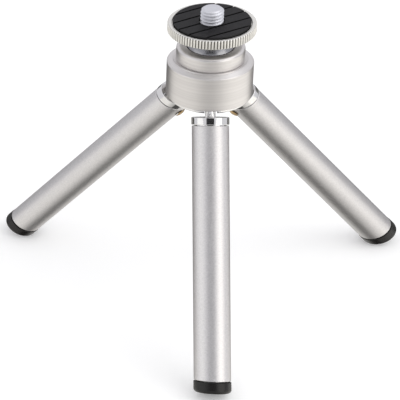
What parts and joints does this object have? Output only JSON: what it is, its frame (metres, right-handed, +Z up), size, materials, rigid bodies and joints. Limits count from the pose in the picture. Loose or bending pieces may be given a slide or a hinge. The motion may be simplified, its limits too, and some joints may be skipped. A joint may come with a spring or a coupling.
{
  "type": "pocket tripod",
  "caption": "Silver pocket tripod with folding, telescoping tubular legs and a ball head that carries a camera on a screw and rubber pad.",
  "frame": {"origin": "middle of the footprint, on the surface that the three feet stand on", "axes": "+Z up along the head axis; one leg points toward -Y, the other two toward +X+Y and -X+Y"},
  "size_m": [0.1142, 0.1002, 0.1191],
  "materials": {
    "turned_aluminium": "silver anodised, fine turning lines round the axis",
    "satin_aluminium": "satin silver tube",
    "chrome": "bright chrome plate",
    "plate_nickel": "pale satin nickel plate, knurled rim",
    "bright_zinc": "bright zinc plate",
    "spring_steel": "plain ground steel",
    "brass": "turned brass",
    "black_rubber": "black moulded rubber, slight sheen",
    "nylon": "natural white nylon"
  },
  "bodies": {
    "housing": {"housing": "turned_aluminium", "hinge_disc": "chrome", "centre_screw": "spring_steel", "spring_washer": "spring_steel", "leg_front_hinge_pin": "spring_steel", "leg_right_hinge_pin": "spring_steel", "leg_left_hinge_pin": "spring_steel"},
    "clamp_collar": {"clamp_collar": "turned_aluminium"},
    "ball_seat": {"ball_seat": "nylon"},
    "ball": {"ball": "chrome"},
    "camera_plate": {"camera_plate": "plate_nickel", "grip_pad": "black_rubber", "camera_screw": "bright_zinc"},
    "leg_front": {"leg_front_eye_bolt": "chrome", "leg_front_ferrule": "chrome", "leg_front_brass_screw": "brass", "leg_front_tube": "satin_aluminium", "leg_front_guide_bush": "nylon"},
    "leg_front_inner": {"leg_front_inner_tube": "satin_aluminium", "leg_front_slider": "nylon", "leg_front_foot": "black_rubber"},
    "leg_right": {"leg_right_eye_bolt": "chrome", "leg_right_ferrule": "chrome", "leg_right_brass_screw": "brass", "leg_right_tube": "satin_aluminium", "leg_right_guide_bush": "nylon"},
    "leg_right_inner": {"leg_right_inner_tube": "satin_aluminium", "leg_right_slider": "nylon", "leg_right_foot": "black_rubber"},
    "leg_left": {"leg_left_eye_bolt": "chrome", "leg_left_ferrule": "chrome", "leg_left_brass_screw": "brass", "leg_left_tube": "satin_aluminium", "leg_left_guide_bush": "nylon"},
    "leg_left_inner": {"leg_left_inner_tube": "satin_aluminium", "leg_left_slider": "nylon", "leg_left_foot": "black_rubber"}
  },
  "joints": [
    {"name": "collar_twist", "type": "hinge", "parent": "housing", "child": "clamp_collar", "pos_m": [0, 0.01484, 0.10151], "axis": [0, 0, 1], "range_deg": [0, 90]},
    {"name": "ball_pan", "type": "hinge", "parent": "housing", "child": "ball_seat", "pos_m": [0, 0.01484, 0.10151], "axis": [0, 0, 1], "continuous": true},
    {"name": "ball_tilt", "type": "hinge", "parent": "ball_seat", "child": "ball", "pos_m": [0, 0.01484, 0.10151], "axis": [1, 0, 0], "range_deg": [-38, 38]},
    {"name": "plate_spin", "type": "hinge", "parent": "ball", "child": "camera_plate", "pos_m": [0, 0.01484, 0.10151], "axis": [0, 0, 1], "continuous": true},
    {"name": "leg_front_fold", "type": "hinge", "parent": "housing", "child": "leg_front", "pos_m": [0, 0.00824, 0.08571], "axis": [1, 0, 0], "range_deg": [0, 33.2]},
    {"name": "leg_front_extend", "type": "slide", "parent": "leg_front", "child": "leg_front_inner", "axis": [0, -0.5476, -0.8368], "range_m": [0, 0.06]},
    {"name": "leg_right_fold", "type": "hinge", "parent": "housing", "child": "leg_right", "pos_m": [0.00571, 0.01813, 0.08571], "axis": [-0.5, 0.866, 0], "range_deg": [0, 33.2]},
    {"name": "leg_right_extend", "type": "slide", "parent": "leg_right", "child": "leg_right_inner", "axis": [0.4742, 0.2738, -0.8368], "range_m": [0, 0.06]},
    {"name": "leg_left_fold", "type": "hinge", "parent": "housing", "child": "leg_left", "pos_m": [-0.00571, 0.01813, 0.08571], "axis": [-0.5, -0.866, 0], "range_deg": [0, 33.2]},
    {"name": "leg_left_extend", "type": "slide", "parent": "leg_left", "child": "leg_left_inner", "axis": [-0.4742, 0.2738, -0.8368], "range_m": [0, 0.06]}
  ]
}
